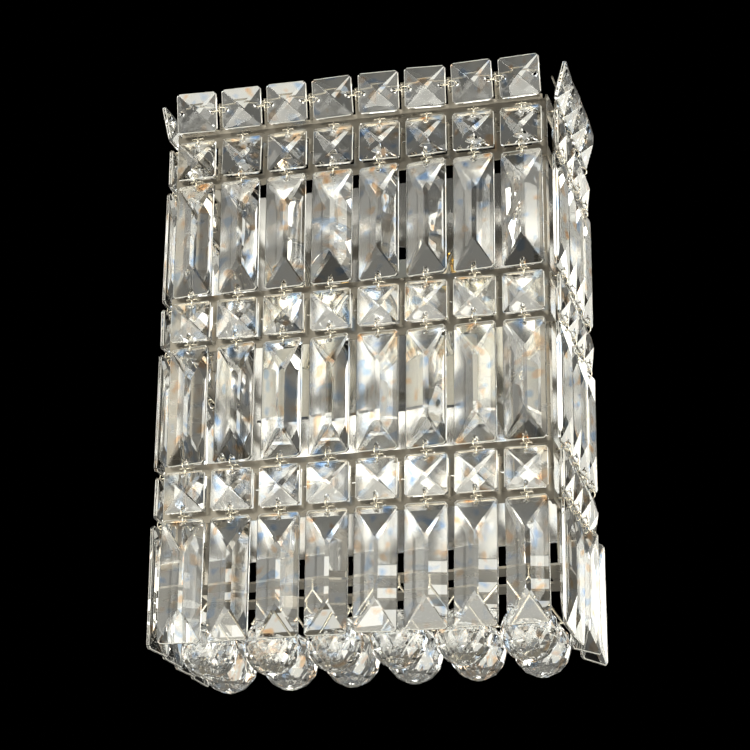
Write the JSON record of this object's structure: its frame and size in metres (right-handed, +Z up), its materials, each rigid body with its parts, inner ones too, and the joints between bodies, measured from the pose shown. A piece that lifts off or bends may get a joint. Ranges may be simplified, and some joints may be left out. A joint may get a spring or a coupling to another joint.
{
  "type": "crystal wall sconce",
  "caption": "Box-shaped wall sconce: a chrome ladder frame hung with square and bar crystals on wire links, with two rows of faceted balls below.",
  "frame": {"origin": "centre of the mounting bar's back face, on the wall", "axes": "+X to the right seen from the front, +Y into the wall, +Z up"},
  "size_m": [0.2256, 0.1067, 0.3155],
  "materials": {
    "crystal": "clear cut crystal, polished facets",
    "chrome": "polished chrome plate",
    "zinc_steel": "zinc plated",
    "brass": "polished",
    "holder_plastic": "satin",
    "bulb_glass": "frosted"
  },
  "bodies": {
    "sconce": {"front_band_top": "chrome", "front_band_middle": "chrome", "front_band_low": "chrome", "left_band_top": "chrome", "left_band_middle": "chrome", "left_band_low": "chrome", "right_band_top": "chrome", "right_band_middle": "chrome", "right_band_low": "chrome", "front_post_left": "chrome", "front_post_right": "chrome", "rear_post_left": "chrome", "rear_post_right": "chrome", "wall_plate": "chrome", "mounting_bar": "zinc_steel", "mounting_studs": "zinc_steel", "cap_nuts": "brass", "lamp_bracket": "chrome", "lamp_holder_left": "holder_plastic", "lamp_holder_right": "holder_plastic", "bulb_left": "bulb_glass", "bulb_right": "bulb_glass", "crown_squares": "crystal", "square_row_1": "crystal", "square_row_2": "crystal", "square_row_3": "crystal", "bar_tier_1": "crystal", "bar_tier_2": "crystal", "crystal_links": "chrome", "crown_wires": "chrome", "ball_rack": "chrome", "ball_bails": "chrome"},
    "pendant_front_1": {"pendant_front_1": "crystal"},
    "pendant_front_2": {"pendant_front_2": "crystal"},
    "pendant_front_3": {"pendant_front_3": "crystal"},
    "pendant_front_4": {"pendant_front_4": "crystal"},
    "pendant_front_5": {"pendant_front_5": "crystal"},
    "pendant_front_6": {"pendant_front_6": "crystal"},
    "pendant_front_7": {"pendant_front_7": "crystal"},
    "pendant_front_8": {"pendant_front_8": "crystal"},
    "pendant_left_1": {"pendant_left_1": "crystal"},
    "pendant_left_2": {"pendant_left_2": "crystal"},
    "pendant_left_3": {"pendant_left_3": "crystal"},
    "pendant_left_4": {"pendant_left_4": "crystal"},
    "pendant_right_1": {"pendant_right_1": "crystal"},
    "pendant_right_2": {"pendant_right_2": "crystal"},
    "pendant_right_3": {"pendant_right_3": "crystal"},
    "pendant_right_4": {"pendant_right_4": "crystal"},
    "ball_front_1": {"ball_front_1": "crystal"},
    "ball_front_2": {"ball_front_2": "crystal"},
    "ball_front_3": {"ball_front_3": "crystal"},
    "ball_front_4": {"ball_front_4": "crystal"},
    "ball_front_5": {"ball_front_5": "crystal"},
    "ball_front_6": {"ball_front_6": "crystal"},
    "ball_back_1": {"ball_back_1": "crystal"},
    "ball_back_2": {"ball_back_2": "crystal"},
    "ball_back_3": {"ball_back_3": "crystal"},
    "ball_back_4": {"ball_back_4": "crystal"},
    "ball_back_5": {"ball_back_5": "crystal"},
    "ball_back_6": {"ball_back_6": "crystal"}
  },
  "joints": [
    {"name": "swing_front_1", "type": "hinge", "parent": "sconce", "child": "pendant_front_1", "pos_m": [-0.0889, -0.1, -0.16705], "axis": [-1, 0, 0], "range_deg": [-8, 35]},
    {"name": "swing_front_2", "type": "hinge", "parent": "sconce", "child": "pendant_front_2", "pos_m": [-0.0635, -0.1, -0.16705], "axis": [-1, 0, 0], "range_deg": [-8, 35]},
    {"name": "swing_front_3", "type": "hinge", "parent": "sconce", "child": "pendant_front_3", "pos_m": [-0.0381, -0.1, -0.16705], "axis": [-1, 0, 0], "range_deg": [-8, 35]},
    {"name": "swing_front_4", "type": "hinge", "parent": "sconce", "child": "pendant_front_4", "pos_m": [-0.0127, -0.1, -0.16705], "axis": [-1, 0, 0], "range_deg": [-8, 35]},
    {"name": "swing_front_5", "type": "hinge", "parent": "sconce", "child": "pendant_front_5", "pos_m": [0.0127, -0.1, -0.16705], "axis": [-1, 0, 0], "range_deg": [-8, 35]},
    {"name": "swing_front_6", "type": "hinge", "parent": "sconce", "child": "pendant_front_6", "pos_m": [0.0381, -0.1, -0.16705], "axis": [-1, 0, 0], "range_deg": [-8, 35]},
    {"name": "swing_front_7", "type": "hinge", "parent": "sconce", "child": "pendant_front_7", "pos_m": [0.0635, -0.1, -0.16705], "axis": [-1, 0, 0], "range_deg": [-8, 35]},
    {"name": "swing_front_8", "type": "hinge", "parent": "sconce", "child": "pendant_front_8", "pos_m": [0.0889, -0.1, -0.16705], "axis": [-1, 0, 0], "range_deg": [-8, 35]},
    {"name": "swing_left_1", "type": "hinge", "parent": "sconce", "child": "pendant_left_1", "pos_m": [-0.1061, -0.015, -0.16705], "axis": [0, 1, 0], "range_deg": [-3, 35]},
    {"name": "swing_left_2", "type": "hinge", "parent": "sconce", "child": "pendant_left_2", "pos_m": [-0.1061, -0.038, -0.16705], "axis": [0, 1, 0], "range_deg": [-3, 35]},
    {"name": "swing_left_3", "type": "hinge", "parent": "sconce", "child": "pendant_left_3", "pos_m": [-0.1061, -0.061, -0.16705], "axis": [0, 1, 0], "range_deg": [-3, 35]},
    {"name": "swing_left_4", "type": "hinge", "parent": "sconce", "child": "pendant_left_4", "pos_m": [-0.1061, -0.084, -0.16705], "axis": [0, 1, 0], "range_deg": [-3, 35]},
    {"name": "swing_right_1", "type": "hinge", "parent": "sconce", "child": "pendant_right_1", "pos_m": [0.1061, -0.084, -0.16705], "axis": [0, -1, 0], "range_deg": [-3, 35]},
    {"name": "swing_right_2", "type": "hinge", "parent": "sconce", "child": "pendant_right_2", "pos_m": [0.1061, -0.061, -0.16705], "axis": [0, -1, 0], "range_deg": [-3, 35]},
    {"name": "swing_right_3", "type": "hinge", "parent": "sconce", "child": "pendant_right_3", "pos_m": [0.1061, -0.038, -0.16705], "axis": [0, -1, 0], "range_deg": [-3, 35]},
    {"name": "swing_right_4", "type": "hinge", "parent": "sconce", "child": "pendant_right_4", "pos_m": [0.1061, -0.015, -0.16705], "axis": [0, -1, 0], "range_deg": [-3, 35]},
    {"name": "rock_front_1", "type": "hinge", "parent": "sconce", "child": "ball_front_1", "pos_m": [-0.08313, -0.0685, -0.2151], "axis": [1, 0, 0], "range_deg": [-6, 6]},
    {"name": "rock_front_2", "type": "hinge", "parent": "sconce", "child": "ball_front_2", "pos_m": [-0.04988, -0.0685, -0.2151], "axis": [1, 0, 0], "range_deg": [-6, 6]},
    {"name": "rock_front_3", "type": "hinge", "parent": "sconce", "child": "ball_front_3", "pos_m": [-0.01663, -0.0685, -0.2151], "axis": [1, 0, 0], "range_deg": [-6, 6]},
    {"name": "rock_front_4", "type": "hinge", "parent": "sconce", "child": "ball_front_4", "pos_m": [0.01663, -0.0685, -0.2151], "axis": [1, 0, 0], "range_deg": [-6, 6]},
    {"name": "rock_front_5", "type": "hinge", "parent": "sconce", "child": "ball_front_5", "pos_m": [0.04988, -0.0685, -0.2151], "axis": [1, 0, 0], "range_deg": [-6, 6]},
    {"name": "rock_front_6", "type": "hinge", "parent": "sconce", "child": "ball_front_6", "pos_m": [0.08313, -0.0685, -0.2151], "axis": [1, 0, 0], "range_deg": [-6, 6]},
    {"name": "rock_back_1", "type": "hinge", "parent": "sconce", "child": "ball_back_1", "pos_m": [-0.08313, -0.03525, -0.2151], "axis": [1, 0, 0], "range_deg": [-6, 6]},
    {"name": "rock_back_2", "type": "hinge", "parent": "sconce", "child": "ball_back_2", "pos_m": [-0.04988, -0.03525, -0.2151], "axis": [1, 0, 0], "range_deg": [-6, 6]},
    {"name": "rock_back_3", "type": "hinge", "parent": "sconce", "child": "ball_back_3", "pos_m": [-0.01663, -0.03525, -0.2151], "axis": [1, 0, 0], "range_deg": [-6, 6]},
    {"name": "rock_back_4", "type": "hinge", "parent": "sconce", "child": "ball_back_4", "pos_m": [0.01663, -0.03525, -0.2151], "axis": [1, 0, 0], "range_deg": [-6, 6]},
    {"name": "rock_back_5", "type": "hinge", "parent": "sconce", "child": "ball_back_5", "pos_m": [0.04988, -0.03525, -0.2151], "axis": [1, 0, 0], "range_deg": [-6, 6]},
    {"name": "rock_back_6", "type": "hinge", "parent": "sconce", "child": "ball_back_6", "pos_m": [0.08313, -0.03525, -0.2151], "axis": [1, 0, 0], "range_deg": [-6, 6]}
  ]
}
